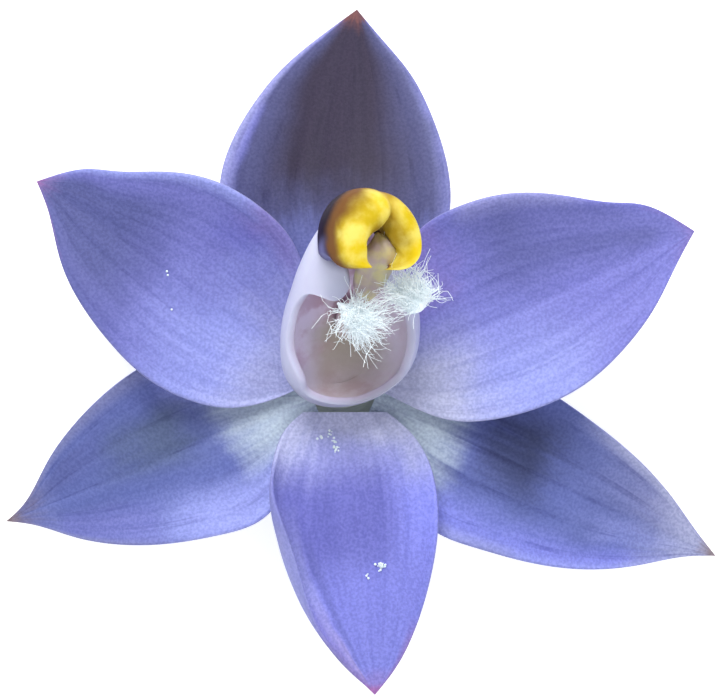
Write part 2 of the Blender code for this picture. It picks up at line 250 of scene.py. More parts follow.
def grain(tree, vector, scale, detail=3.0, roughness=0.5):
    inputs = {"Vector": vector, "Scale": scale, "Detail": detail, "Roughness": roughness}
    return addNode(tree, "ShaderNodeTexNoise", inputs).outputs["Fac"]


def swing(tree, vector, scale, detail=3.0, roughness=0.5):  # the same, about zero
    return calc(tree, "SUBTRACT", grain(tree, vector, scale, detail, roughness), 0.5)


flesh = {
    "bleed": (1.0, 0.7, 0.9),  # how far red, green and blue spread under the skin
    "relief": 0.05,  # height of the fine bumps
}


def newFinish(name, roughness, subsurface=0.0, radius=0.2, specular=0.5):
    material = bpy.data.materials.new(name)
    material.use_nodes = True
    tree = material.node_tree
    shader = tree.nodes["Principled BSDF"]
    shader.inputs["Roughness"].default_value = roughness
    shader.inputs["Specular IOR Level"].default_value = specular
    shader.inputs["Subsurface Weight"].default_value = subsurface
    shader.inputs["Subsurface Radius"].default_value = flesh["bleed"]
    shader.inputs["Subsurface Scale"].default_value = radius * mm
    return material, tree, shader


def addBump(tree, shader, height, strength):
    inputs = {"Height": height, "Strength": strength, "Distance": flesh["relief"] * mm}
    bump = addNode(tree, "ShaderNodeBump", inputs)
    tree.links.new(bump.outputs[0], shader.inputs["Normal"])


def paint(tree, shader, colour):
    tree.links.new(colour, shader.inputs["Base Color"])


# Sepals and petals

tones = {
    "iris": (0.17, 0.175, 0.50),
    "bluet": (0.105, 0.132, 0.36),
    "dim": (0.078, 0.088, 0.25),
    "bright": (0.285, 0.32, 0.71),
    "blue": (0.225, 0.245, 0.73),
    "mist": (0.22, 0.235, 0.44),
    "milk": (0.50, 0.52, 0.72),
    "dusk": (0.072, 0.075, 0.18),
    "umber": (0.026, 0.017, 0.035),
    "night": (0.035, 0.045, 0.115),
    "slate": (0.085, 0.115, 0.20),
    "sage": (0.48, 0.57, 0.66),
    "tan": (0.22, 0.15, 0.12),
    "rust": (0.17, 0.065, 0.06),
    "mauve": (0.27, 0.165, 0.40),
    "pink": (0.36, 0.13, 0.36),
    "pale": (0.62, 0.64, 0.90),
    "cobalt": (0.11, 0.115, 0.42),
}
blade = {
    "widthAt": (0.0, 0.04, 0.12, 0.25, 0.4, 0.55, 0.7, 0.82, 0.92, 1.0),
    "heightAt": (0.0, 0.2, 0.45, 0.7, 1.0),
    "rows": 84,
    "columns": 26,
    "curlFrom": 0.6,  # share of the half-width at which a margin starts to curl
    "waves": 9,  # ripples of a margin from foot to tip, in radians
    "phaseStep": 3,
    "grooveDepth": 0.07,
    "grooveWidth": 0.07,
    "ribs": 4,
    "ribHeight": 0.018,
    "footShare": 0.15,  # share of the length that a skew foot takes
    "thickness": 0.3,
    "marginThinning": 0.19,
    "taperShare": 0.06,
    "thinnest": 0.35,
}

# left and right are half-widths seen from the base, cup and curl are in degrees. Each wash is a tone,
# its strength, and where it rises and falls: along the blade from 0 to 1, across it from -1 to 1. The
# edges 8 and 9, or their negatives, lie off the blade, so the wash has no end there.
every = (-9, -8, 8, 9)
sepal = {"cup": (18, 18), "curl": (10, 10), "slot": "sepal_skin"}
petal = {"cup": (26, 26), "curl": (12, 12), "veins": 3.4, "veinDepth": 0.24, "slot": "petal_skin"}
lateral = {**sepal, "height": (3.9, 4.0, 3.8, 2.5, 0.3), "ripple": 0.06, "ground": "bluet", "veins": 2.6}
paired = {**petal, "height": (4.3, 4.65, 5.2, 5.3, 4.9), "ripple": 0.07}
# Besides the blades' own colours, some washes are painted shade and painted light; each is marked where it
# stands.
tepals = {
    "dorsal_sepal": {
        **sepal,
        "base": (-0.56, 0.0),
        "stretch": 1.013,
        "left": (0.6, 0.8, 1.7, 3.3, 4.4, 4.35, 3.55, 2.5, 1.2, 0.0),
        "right": (0.6, 0.8, 1.5, 2.7, 3.4, 3.3, 2.7, 1.9, 0.85, 0.0),
        "height": (3.9, 4.1, 3.9, 2.6, 0.3),
        "cup": (20, 20),
        "ripple": 0.05,
        "ground": "iris",
        "washes": [
            ("slate", 0.45, (0.05, 0.2, 8, 9), (-0.95, -0.7, 0.75, 0.95)),
            ("dusk", 0.95, (0.3, 0.42, 8, 9), (-0.97, -0.84, 0.8, 1.05)),
            ("umber", 0.9, (0.34, 0.56, 0.97, 1.05), (-0.85, -0.45, 0.2, 0.85)),
            ("mist", 0.45, (0.1, 0.4, 0.93, 0.99), (0.75, 1.0, 8, 9)),
            ("milk", 0.35, (0.1, 0.4, 0.93, 0.99), (-9, -8, -0.98, -0.86)),
            ("rust", 0.3, (0.91, 0.97, 8, 9), (-9, -8, 0.2, 0.5)),
            ("rust", 0.85, (0.965, 1.0, 8, 9), every),
        ],
        "veins": 3.2,
        "veinDepth": 0.35,
        "seed": 1,
    },
    "left_lateral_sepal": {
        **lateral,
        "base": (-1.65, -1.65),
        "left": (0.6, 0.9, 1.9, 3.1, 3.15, 2.8, 2.2, 1.4, 0.5, 0.0),
        "right": (0.6, 0.9, 1.9, 3.1, 3.3, 2.95, 2.25, 1.35, 0.4, 0.0),
        "washes": [
            # sage: the foot's own pale green, painted paler still as painted light against the shade round
            # the column
            ("sage", 0.9, (-9, -8, 0.12, 0.34), every),
            ("bright", 0.9, (0.06, 0.2, 0.4, 0.75), (-9, -8, -0.72, -0.25)),
            ("bright", 0.9, (0.05, 0.14, 0.34, 0.46), (0.3, 0.6, 8, 9)),
            ("sage", 0.45, (0.06, 0.14, 0.2, 0.34), (-0.6, -0.3, 0.5, 0.7)),
            # slate and dim: partly the sepal's own darker blue, partly painted shadow where the left petal
            # lies over it
            ("slate", 0.8, (0.27, 0.44, 0.45, 0.72), (-0.3, 0.1, 0.38, 0.7)),
            ("iris", 0.5, (0.5, 0.65, 0.82, 0.92), (-9, -8, -0.6, -0.2)),
            ("dim", 0.4, (0.55, 0.8, 0.9, 0.97), (0.1, 0.4, 0.62, 0.8)),
            ("mist", 0.8, (0.22, 0.4, 0.9, 0.97), (0.75, 1.0, 8, 9)),
            ("mist", 0.75, (0.5, 0.8, 0.9, 0.97), (-9, -8, -0.98, -0.86)),
            ("mist", 0.3, (0.82, 0.92, 8, 9), every),
            ("tan", 0.9, (0.87, 0.98, 8, 9), every),
        ],
        "veinDepth": 0.4,
        "seed": 2,
    },
    "right_lateral_sepal": {
        **lateral,
        "base": (0.45, -1.7),
        "left": (0.6, 0.9, 1.8, 2.75, 2.8, 2.45, 1.95, 1.3, 0.55, 0.0),
        "right": (0.6, 0.9, 1.9, 3.1, 3.15, 2.85, 2.25, 1.4, 0.5, 0.0),
        "washes": [
            # sage: the foot's own pale green, painted paler still as painted light against the shade round
            # the column
            ("sage", 0.9, (-9, -8, 0.12, 0.32), every),
            ("blue", 0.8, (0.12, 0.3, 0.75, 0.9), (0.35, 0.95, 8, 9)),
            ("bright", 0.7, (0.15, 0.35, 0.8, 0.92), (0.82, 1.0, 8, 9)),
            ("bright", 0.35, (0.55, 0.7, 0.85, 0.92), (0, 0.2, 0.4, 0.6)),
            # night: partly the sepal's own dark blue, partly painted shadow where the right petal lies over
            # it
            ("night", 0.92, (0.25, 0.42, 0.42, 0.6), (-0.95, -0.35, 0.0, 0.6)),
            ("sage", 0.5, (0.04, 0.1, 0.14, 0.24), (-0.5, -0.3, 0.2, 0.4)),
            ("mist", 0.5, (0.2, 0.3, 0.45, 0.55), (0.8, 0.98, 8, 9)),
            ("mist", 0.8, (0.5, 0.85, 8, 9), (-9, -8, -0.6, 0.5)),
            ("milk", 0.5, (0.45, 0.7, 0.8, 0.9), (-9, -8, -0.97, -0.72)),
            ("milk", 0.5, (0.74, 0.92, 8, 9), every),
            ("tan", 0.75, (0.93, 0.99, 8, 9), every),
        ],
        "veinDepth": 0.45,
        "seed": 3,
    },
    "left_petal": {
        **paired,
        "base": (-1.5, -0.65),
        "left": (0.5, 1.3, 2.45, 3.25, 3.45, 3.15, 2.55, 1.7, 0.65, 0.0),
        "right": (0.5, 0.8, 1.7, 3.05, 3.55, 3.45, 2.72, 1.82, 1.12, 0.0),
        # dim ground and the first bright wash: partly the petal's own tones, partly painted shade on the
        # upper side and painted light on the lower half, which faces the top lamp
        "ground": "dim",
        "washes": [
            ("iris", 0.8, (-9, -8, 0.45, 0.75), every),
            ("bright", 0.9, (-9, -8, 0.26, 0.62), (-9, -8, -0.2, 0.45)),
            ("milk", 0.5, (-9, -8, 0.08, 0.32), every),
            ("mist", 0.5, (-9, -8, 0.1, 0.24), (-0.95, -0.8, -0.1, 0.3)),
            ("bright", 0.3, (0.14, 0.22, 0.34, 0.42), (0.1, 0.4, 8, 9)),
            ("iris", 0.25, (0.5, 0.7, 0.9, 1.0), (-9, -8, -0.9, -0.4)),
            ("iris", 0.75, (0.45, 0.6, 0.95, 1.0), (0.45, 0.8, 8, 9)),
            ("bright", 0.85, (0.35, 0.5, 0.97, 1.02), (0.8, 0.98, 8, 9)),
            ("mauve", 0.6, (0.9, 0.98, 8, 9), every),
            ("mauve", 0.6, (0.8, 0.9, 8, 9), (-9, -8, -0.975, -0.9)),
            ("mauve", 0.3, (0.15, 0.3, 0.4, 0.5), (0.6, 0.9, 8, 9)),
            ("cobalt", 0.45, (0.27, 0.36, 0.42, 0.54), (0.35, 0.6, 0.72, 0.92)),
            ("pink", 0.8, (0.955, 1.0, 8, 9), every),
        ],
        "seed": 4,
    },
    "right_petal": {
        **paired,
        "base": (0.3, -0.8),
        "left": (0.5, 0.8, 1.9, 3.6, 4.05, 3.8, 2.95, 2.05, 1.32, 0.0),
        "right": (0.5, 1.1, 2.2, 3.05, 3.35, 3.22, 2.58, 1.74, 0.76, 0.0),
        "ground": "iris",
        "washes": [
            # bright, dim and the broad milk wash: partly the petal's own tones, partly painted light on the
            # lower half, which faces the top lamp, paler still by the column against its shade, and painted
            # shade on the upper side
            ("bright", 0.92, (-9, -8, 0.38, 0.74), (0.0, 0.75, 8, 9)),
            ("bright", 0.45, (-9, -8, 0.36, 0.64), (-0.35, 0.2, 8, 9)),
            ("dim", 0.65, (0.3, 0.5, 0.82, 0.95), (-0.98, -0.8, -0.45, 0.1)),
            ("iris", 0.4, (0.5, 0.62, 0.85, 0.95), (-0.95, -0.8, -0.6, -0.3)),
            ("milk", 0.9, (-9, -8, 0.12, 0.38), (-0.45, 0.3, 8, 9)),
            ("milk", 0.25, (0.36, 0.44, 0.65, 0.8), (-9, -8, -0.98, -0.78)),
            ("mauve", 0.6, (0.9, 0.98, 8, 9), every),
            ("mauve", 0.3, (0.1, 0.2, 0.26, 0.36), (-9, -8, -0.5, -0.2)),
            ("pink", 0.8, (0.955, 1.0, 8, 9), every),
        ],
        "seed": 5,
    },
    "labellum": {
        **petal,
        "base": (-0.5, -2.08),
        "skew": 0.1,
        "fringe": 0.04,
        "left": (1.4, 1.85, 2.4, 2.75, 2.75, 2.45, 1.95, 1.4, 0.75, 0.0),
        "right": (1.5, 2.0, 2.5, 2.8, 2.7, 2.4, 1.9, 1.3, 0.65, 0.0),
        "height": (4.3, 4.75, 4.9, 4.5, 3.7),
        "cup": (26, 20),
        "curl": (12, 130),
        "ripple": 0.04,
        "ground": "blue",
        "washes": [
            ("iris", 0.9, (0.08, 0.24, 0.38, 0.68), (-0.9, -0.1, 8, 9)),
            ("cobalt", 0.6, (0.12, 0.3, 0.4, 0.66), (-0.7, -0.2, 0.5, 0.95)),
            ("mist", 0.6, (-9, -8, 0.04, 0.3), every),
            # milk and pale: the lip's own pale foot, painted paler still as painted light where the column's
            # cup shades it
            ("milk", 0.9, (-9, -8, -0.03, 0.25), every),
            ("pale", 0.5, (-9, -8, 0.04, 0.15), (-0.8, -0.4, 0.4, 0.8)),
            ("milk", 0.35, (-9, -8, 0.1, 0.36), (-9, -8, -0.8, -0.3)),
            ("milk", 0.4, (0.0, 0.1, 0.1, 0.3), (0.4, 0.8, 8, 9)),
            ("dim", 0.4, (0.75, 0.88, 0.95, 1.0), (0.72, 0.85, 8, 9)),
            ("milk", 0.15, (0.4, 0.6, 0.9, 1.0), (0.5, 0.6, 0.68, 0.76)),
            ("iris", 0.4, (0.4, 0.6, 0.93, 1.0), (-9, -8, 0.4, 0.6)),
            ("dim", 0.3, (0.35, 0.5, 0.85, 0.95), (0.38, 0.46, 0.48, 0.54)),
            ("milk", 0.2, (0.25, 0.5, 0.9, 1.0), (0.48, 0.6, 8, 9)),
            ("mauve", 0.4, (0.5, 0.9, 8, 9), (0.48, 0.6, 8, 9)),
            ("pink", 0.4, (0.7, 0.9, 8, 9), (-9, -8, -0.985, -0.95)),
            ("mauve", 0.5, (0.7, 0.85, 8, 9), (-9, -8, -0.95, -0.75)),
            ("mauve", 0.5, (0.88, 0.98, 8, 9), every),
            ("pink", 0.8, (0.965, 1.0, 8, 9), every),
        ],
        "veinDepth": 0.14,
        "seed": 6,
    },
}


def bladeSection(halfWidth, cup, curl):  # across and rise from midrib to margin, row by row
    share = np.linspace(0, 1, blade["columns"] + 1)
    turn = np.radians(np.outer(cup, share) + np.outer(curl, ramp(share, blade["curlFrom"], 1)))
    middle = (turn[:, 1:] + turn[:, :-1]) / 2
    zero = np.zeros((len(halfWidth), 1))
    across = np.hstack([zero, np.cumsum(np.cos(middle), axis=1)])
    rise = np.hstack([zero, np.cumsum(np.sin(middle), axis=1)])
    fit = (halfWidth / across.max(axis=1))[:, None]
    return across * fit, rise * fit


def bladeRelief(spec, side, t):  # margin ripples, the groove of the midrib and fine ribs
    u = np.linspace(0, 1, blade["columns"] + 1)[None, :]
    phase = spec["seed"] + blade["phaseStep"] * side
    ripple = spec["ripple"] * np.sin(blade["waves"] * t + phase)[:, None] * u**3
    groove = blade["grooveDepth"] * swell(u, 0, blade["grooveWidth"])
    ribs = blade["ribHeight"] * np.cos(2 * math.pi * u * blade["ribs"]) * (1 - u)
    return ripple - groove + ribs


def bladeGrid(name, spec):  # the upper face, row by row from foot to tip
    base = np.array(spec["base"])
    points = nodePoints(name)[:, :2]
    tip = points[np.argmax(np.hypot(*(points - base).T))]
    along = (tip - base) * spec.get("stretch", 1)
    forward = unit(along)
    leftward = np.array((-forward[1], forward[0]))
    t = (1 - np.cos(np.linspace(0, math.pi, blade["rows"] + 1))) / 2
    spread = np.sin(math.pi * t)
    skew = spec.get("skew", 0) * swell(t, 0, blade["footShare"])
    height = smoothCurve(blade["heightAt"], spec["height"], t)
    halves = []
    for k, (edge, sign) in enumerate((("left", 1), ("right", -1))):
        half = np.clip(smoothCurve(blade["widthAt"], spec[edge], t), 0, None)
        half[-1] = 0
        across, rise = bladeSection(half, spec["cup"][k] * spread, spec["curl"][k] * spread)
        rise = rise + bladeRelief(spec, k, t) * spread[:, None]
        across = sign * across[:, :, None]
        flat = base + t[:, None, None] * along + across * (leftward + skew[:, None, None] * forward)
        halves.append(np.dstack([flat, height[:, None] + rise]))
    top = np.hstack([halves[0][:, ::-1], halves[1][:, 1:]])
    marks = {
        "along": np.repeat(t[:, None], top.shape[1], axis=1),
        "across": np.repeat(np.linspace(-1, 1, top.shape[1])[None, :], len(t), axis=0),
    }
    return top, marks


def bladeNormals(top):
    normals = np.cross(np.gradient(top, axis=0), np.gradient(top, axis=1))
    size = np.linalg.norm(normals, axis=2, keepdims=True)
    normals = normals / np.maximum(size, 1e-9)
    normals[-1] = normals[-3].mean(axis=0)  # the tip is one point and takes the way of the rows before it
    if normals[:, :, 2].mean() < 0:
        normals = -normals
    return normals / np.linalg.norm(normals, axis=2, keepdims=True)


bladeSkin = {
    "clouds": 0.4,  # clouds, flecks and patches: how many fit into a millimetre. The flecks are bumps of the skin and painted glints.
    "flecks": 10.0,
    "patches": 0.7,
    "streaks": (11.0, 1.6),  # how fine across and along the blade
    "seedStep": 7.3,
    "wander": (0.2, 0.3),  # how far the clouds move a wash's ends and its sides
    "fringe": 0.1,  # how far the streaks move its ends
    "light": 1.12,
    "veinWidth": 0.4,
    "veinWander": 0.8,
    "veinTint": (0.3, 0.3, 0.5),
    "streakTint": (0.84, 0.85, 0.9),
    # painted glints: the brightest flecks stand in for light caught by the skin's tiny cells
    "paintedGlintTint": (1.3, 1.28, 1.2),
    "wholeTint": (0.93, 0.93, 0.94),
    "underMist": 0.35,
    "relief": (0.6, 0.8),  # shares of the flecks and of the streaks
}


def bladeStreaks(tree, along, across, seed):  # stretched along the blade, narrow across it
    fineness = bladeSkin["streaks"]
    inputs = {0: product(tree, across, fineness[0]), 1: product(tree, along, fineness[1])}
    where = addNode(tree, "ShaderNodeCombineXYZ", {**inputs, 2: seed * bladeSkin["seedStep"]}).outputs[0]
    return swing(tree, where, 1.0, detail=4, roughness=0.6)


def bladeVeins(tree, across, streak, spot, spec):
    wave = nudge(tree, product(tree, across, spec["veins"]), streak, bladeSkin["veinWander"])
    rib = calc(tree, "ABSOLUTE", calc(tree, "SINE", product(tree, wave, math.pi)))
    patchy = ease(tree, grain(tree, spot, bladeSkin["patches"]), 0.35, 0.65)
    return product(tree, fall(tree, rib, 0.0, bladeSkin["veinWidth"]), patchy, spec["veinDepth"])


def bladeFinish(name, spec):
    material, tree, shader = newFinish(name + "_finish", 0.55, subsurface=0.12, radius=0.12, specular=0.2)
    along, across = mark(tree, "along"), mark(tree, "across")
    spot = placeInMm(tree)
    cloud = swing(tree, spot, bladeSkin["clouds"])
    streak = bladeStreaks(tree, along, across, spec["seed"])
    away = nudge(tree, along, cloud, bladeSkin["wander"][0])
    away = nudge(tree, away, streak, spec.get("fringe", bladeSkin["fringe"]))
    sideways = nudge(tree, across, cloud, bladeSkin["wander"][1])

    ground = tones[spec["ground"]]
    light = tuple(bladeSkin["light"] * c for c in ground)
    colour = blend(tree, ease(tree, cloud, -0.3, 0.3), ground, light)
    for tone, strength, alongEdges, acrossEdges in spec["washes"]:
        margin = acrossEdges[0] > 0.7 or acrossEdges[3] < -0.7  # a wash at the margin keeps a clean side
        narrow = span(tree, across if margin else sideways, acrossEdges)
        where = product(tree, span(tree, away, alongEdges), narrow)
        colour = wash(tree, colour, tones[tone], where, strength)

    # one fine grain for the skin's bumps and for its painted glints
    bumpsAndGlints = grain(tree, spot, bladeSkin["flecks"], detail=1)
    for amount, tint in (
        (bladeVeins(tree, across, streak, spot, spec), "veinTint"),
        (ease(tree, streak, -0.2, 0.25), "streakTint"),
        (ease(tree, bumpsAndGlints, 0.3, 0.7), "paintedGlintTint"),
        (1.0, "wholeTint"),
    ):
        colour = blend(tree, amount, colour, bladeSkin[tint], kind="MULTIPLY")
    paint(tree, shader, wash(tree, colour, tones["mist"], mark(tree, "inside"), bladeSkin["underMist"]))
    shader.inputs["Sheen Weight"].default_value = 0.03
    shader.inputs["Sheen Roughness"].default_value = 0.4
    fleckShare, streakShare = bladeSkin["relief"]
    addBump(tree, shader, nudge(tree, product(tree, bumpsAndGlints, fleckShare), streak, streakShare), 0.3)
    return material


def makeTepals():
    for name, spec in tepals.items():
        top, marks = bladeGrid(name, spec)
        toEnd = np.minimum(marks["along"], 1 - marks["along"])
        taper = np.clip(toEnd / blade["taperShare"], blade["thinnest"], 1)
        thickness = (blade["thickness"] - blade["marginThinning"] * marks["across"] ** 2) * taper
        under = top - bladeNormals(top) * thickness[:, :, None]
        obj = walledSkin("fine_" + name, top, under, marks, bladeFinish(name, spec))
        place(obj, spec["slot"], name)
    print("sepals and petals:", len(tepals))


# Column: the pouch that its wings make, and the hood above it

column = {
    "path": (
        (-0.56, -1.15, 4.4),
        (-0.53, -0.8, 5.2),
        (-0.41, 0.26, 6.5),
        (-0.31, 2.66, 8.2),
        (-0.24, 3.63, 9.06),
    ),
    "turnStart": 0.72,  # share of the path from which it turns into the hood
    "yaw": 20,  # degrees that its front is turned to the right
    "tilt": (-0.7, 0.7),  # how far the front faces down the flower and up
    "wall": 0.32,
    "floor": 0.06,
    "narrowest": 0.02,
    "radiusAt": (0.0, 0.045, 0.12, 0.22, 0.4, 0.6, 0.8, 1.0),
    "radius": (0.9, 1.2, 1.72, 2.2, 2.48, 2.38, 1.95, 1.38),
    "front": (0.66, 0.62, 0.66, 0.73, 0.8, 0.75, 0.65, 0.6),  # depths as shares of the radius
    "back": (0.6, 0.5, 0.44, 0.48, 0.6, 0.7, 0.8, 1.0),
    "mouthAt": (0.19, 0.22, 0.3, 0.44, 0.6, 0.7, 0.76, 0.81, 0.86, 0.92, 1.0),
    "mouthLeft": (0, 35, 57, 75, 81, 80, 73, 58, 22, 8, 18),  # degrees from the front to the mouth's edge
    "mouthRight": (0, 30, 46, 50, 50, 48, 46, 42, 38, 36, 40),
    "lobeDroop": 0.62,  # the upper left corner of the mouth hangs down
    "lobeShare": (0.84, 0.07),  # its middle and width, as shares of the path
    "lobeTurn": (16, 26),  # and in degrees from the front
    "rim": 0.1,  # width of the shaded rim, as a share of the way round
    "rows": 70,
    "closedRows": 16,
    "columns": 80,
}
hood = {
    "spine": ((-0.34, 3.65, 9.15), (-0.06, 4.12, 10.1), (0.95, 4.22, 11.3)),
    "lean": -0.23,
    "ends": (-154, 168),  # turns from the top at which the two lobes end
    "crease": 3,  # turn at which the fold between the lobes lies
    "creaseWidth": 10,
    "creaseDepth": (0.05, 0.07),  # outwards and in length
    "outer": 1.43,
    "sideBulge": 0.08,
    "endThinning": 0.03,
    "jowlTurn": (144, 24),  # middle and width of the swelling on each lobe
    "jowls": (0.46, 0.1),  # left and right
    "jowlDrop": 0.08,
    "innerAt": (0, 0.06, 0.18, 0.36, 0.54, 0.65, 0.77, 0.89, 1.0),
    "inner": (0.9, 0.76, 0.56, 0.54, 0.7, 0.86, 0.82, 0.78, 0.8),
    "notch": 0.28,  # widens the opening near the end of the left lobe
    "notchTurn": (-138, 28),
    "brow": 0.66,  # share of the length at which the swollen front starts
    "browRise": ((0.2, 0.45, 0.75), (0.06, 0.75, 1)),  # rises, and between which shares of a lobe
    "fullBrow": 0.86,
    "bulgePower": 0.9,
    "throatWall": 0.38,
    "throat": ((0.3, 0.1), (1.0, 0.24)),  # share of the way out to the throat and depth below the brow
    "collar": (  # depth below the outside and share of the length, round the lower edge
        (0.42, 0.25),
        (0.45, 0.02),
        (0.28, 0.0),
        (0.1, 0.03),
        (0.05, 0.2),
        (0.01, 0.4),
        (0.0, 0.55),
    ),
    "collarRise": ((0.52, 112, 132), (0.28, 132, 168)),  # rises, and between which turns
    "hole": (0.36, -0.54),  # how far the opening's middle lies right of and above the hood's
    "frontSteps": 17,
    "lining": (13, 20),  # points of a loop that face the anther
    "liningShare": 0.9,
    "roundFrom": 0.93,  # share of a lobe from which its end is rounded
    "endSize": 0.25,
    "caps": (0.6, 0.0),  # shrinking steps that close each lobe's end
    "turns": 120,
}
hoodForward = unit(np.subtract(hood["spine"][-1], hood["spine"][0]))


def columnFrame(share):  # centre, right and front of the column
    fine = np.linspace(0, 1, 201)
    line = pathPoints(column["path"], fine)
    slope = np.gradient(line, axis=0)
    forward = unit(np.array([np.interp(share, fine, slope[:, k]) for k in range(3)]))
    centre = np.array([np.interp(share, fine, line[:, k]) for k in range(3)])
    forward = unit(forward + ramp(share, column["turnStart"], 1) * (hoodForward - forward))
    facing = np.array((math.sin(math.radians(column["yaw"])), *column["tilt"]))
    front = unit(facing - forward * facing.dot(forward))
    return centre, np.cross(forward, front), front


def around(here, angles, side, front, back):  # points on an oval, at angles in degrees from the back
    centre, right, ahead = here
    turn = np.radians(angles)[:, None]
    depth = np.where(np.cos(turn) > 0, back, front)
    return centre + np.sin(turn) * side * right - np.cos(turn) * depth * ahead


pouchTones = {
    "skinDark": (0.46, 0.47, 0.66),
    "skinLight": (0.57, 0.58, 0.74),
    "foot": (0.27, 0.27, 0.34),
    "paintedLightUnderHood": (0.66, 0.67, 0.84),
    "collar": (0.13, 0.12, 0.28),
    # liningDark and liningLight: the lining's own mauve, painted paler as painted light that shines through
    # the thin walls
    "liningDark": (0.55, 0.36, 0.48),
    "liningLight": (0.74, 0.63, 0.79),
    "heart": (0.40, 0.36, 0.28),
    "deep": (0.40, 0.36, 0.33),
    "paintedLightRight": (0.92, 0.90, 1.0),
    "paintedLightLeft": (0.62, 0.62, 0.90),
    "rim": (0.46, 0.43, 0.58),
}
pouchHeart = (-0.45, 0.35, 0.0)  # middle of the olive patch inside, seen from above


def pouchFinish():
    material, tree, shader = newFinish("pouch_finish", 0.45, subsurface=0.3, radius=0.25, specular=0.3)
    share = mark(tree, "share")
    spot = placeInMm(tree)
    cloud = grain(tree, spot, 0.9, detail=4)
    skin = blend(tree, cloud, pouchTones["skinDark"], pouchTones["skinLight"])
    foot = fall(tree, nudge(tree, share, cloud, 0.08), 0.2, 0.34)
    skin = wash(tree, skin, pouchTones["foot"], foot, strength=0.75)
    # painted light: the upper wings are painted paler where the hood shades them
    skin = wash(tree, skin, pouchTones["paintedLightUnderHood"], ease(tree, share, 0.74, 0.9), strength=0.4)
    collar = ease(tree, nudge(tree, share, cloud, 0.06), 0.99, 1.07)
    skin = blend(tree, collar, skin, pouchTones["collar"])

    patch = ease(tree, grain(tree, spot, 1.0, detail=5, roughness=0.6), 0.4, 0.6)
    lining = blend(tree, patch, pouchTones["liningDark"], pouchTones["liningLight"])
    toHeart = vectorCalc(tree, "SUBTRACT", spot, pouchHeart)
    toHeart = vectorCalc(tree, "MULTIPLY", toHeart, (1, 1, 0))
    distance = nudge(tree, vectorCalc(tree, "LENGTH", toHeart), calc(tree, "SUBTRACT", cloud, 0.5), 1.6)
    sideways = addNode(tree, "ShaderNodeSeparateXYZ", {0: toHeart}).outputs[0]
    deep = fall(tree, nudge(tree, share, cloud, 0.12), 0.22, 0.36)
    for tone, where, strength in (
        ("heart", fall(tree, distance, 0.4, 1.9), 0.92),
        ("deep", deep, 0.6),
        # painted light: the inner side walls are painted paler and bluer where light comes through them
        ("paintedLightRight", ease(tree, sideways, 0.6, 1.8), 0.75),
        ("paintedLightLeft", fall(tree, sideways, -1.6, -0.7), 0.35),
        # painted shade along the mouth's rim, where the lining is left unshaded
        ("rim", mark(tree, "rim"), 0.75),
    ):
        lining = wash(tree, lining, pouchTones[tone], where, strength)
    paint(tree, shader, blend(tree, mark(tree, "inside"), skin, lining))
    addBump(tree, shader, grain(tree, spot, 6.0), 0.15)
    return material


def pouchLayer(shares, edges, wall, floor):  # one face: set in by the wall, raised by the floor
    depth = np.clip(1 - shares / column["mouthAt"][0], 0, 1)
    raised = shares + floor * depth
    radii = smoothCurve(column["radiusAt"], column["radius"], raised)
    if floor:  # the floor curves up into the wall
        radii = np.maximum(radii * np.sqrt(1 - depth**2), wall + column["narrowest"])
    fronts = radii * smoothCurve(column["radiusAt"], column["front"], raised) - wall
    backs = radii * smoothCurve(column["radiusAt"], column["back"], raised) - wall
    rows = [np.repeat(columnFrame(raised[0])[0][None, :], column["columns"] + 1, axis=0)]
    for share, left, right, *reaches in zip(raised, *edges, radii - wall, fronts, backs):
        angles = np.linspace(left - 180, 180 - right, column["columns"] + 1)
        here = columnFrame(share)
        lobe = swell(share, *column["lobeShare"]) * swell(180 + angles, *column["lobeTurn"])
        droop = (column["lobeDroop"] * lobe)[:, None] * np.cross(here[2], here[1])
        rows.append(around(here, angles, *reaches) - droop)
    return np.array(rows)


def makePouch():
    closed = np.linspace(0, column["mouthAt"][0], column["closedRows"])
    higher = np.linspace(closed[-1], 1, column["rows"] - len(closed) + 1)[1:]
    shares = np.concatenate([closed, higher])
    edges = []
    for name in ("mouthLeft", "mouthRight"):
        edge = np.clip(smoothCurve(column["mouthAt"], column[name], shares), 0, None)
        edge[: len(closed)] = 0
        edges.append(edge)
    outer = pouchLayer(shares, edges, 0, 0)
    inner = pouchLayer(shares, edges, column["wall"], column["floor"])
    steps = np.arange(column["columns"] + 1)
    fromEdge = np.minimum(steps, column["columns"] - steps) / column["columns"]
    marks = {"share": np.repeat(np.concatenate([[0], shares])[:, None], len(steps), axis=1)}
    marks["rim"] = swell(fromEdge[None, :], 0, column["rim"]) * ramp(marks["share"], 0.15, 0.2)
    obj = walledSkin("wing_pouch", outer, inner, marks, pouchFinish())
    place(addSubdivision(obj, 1), "wing_flesh", "column_cup")
    print("wing pouch done")


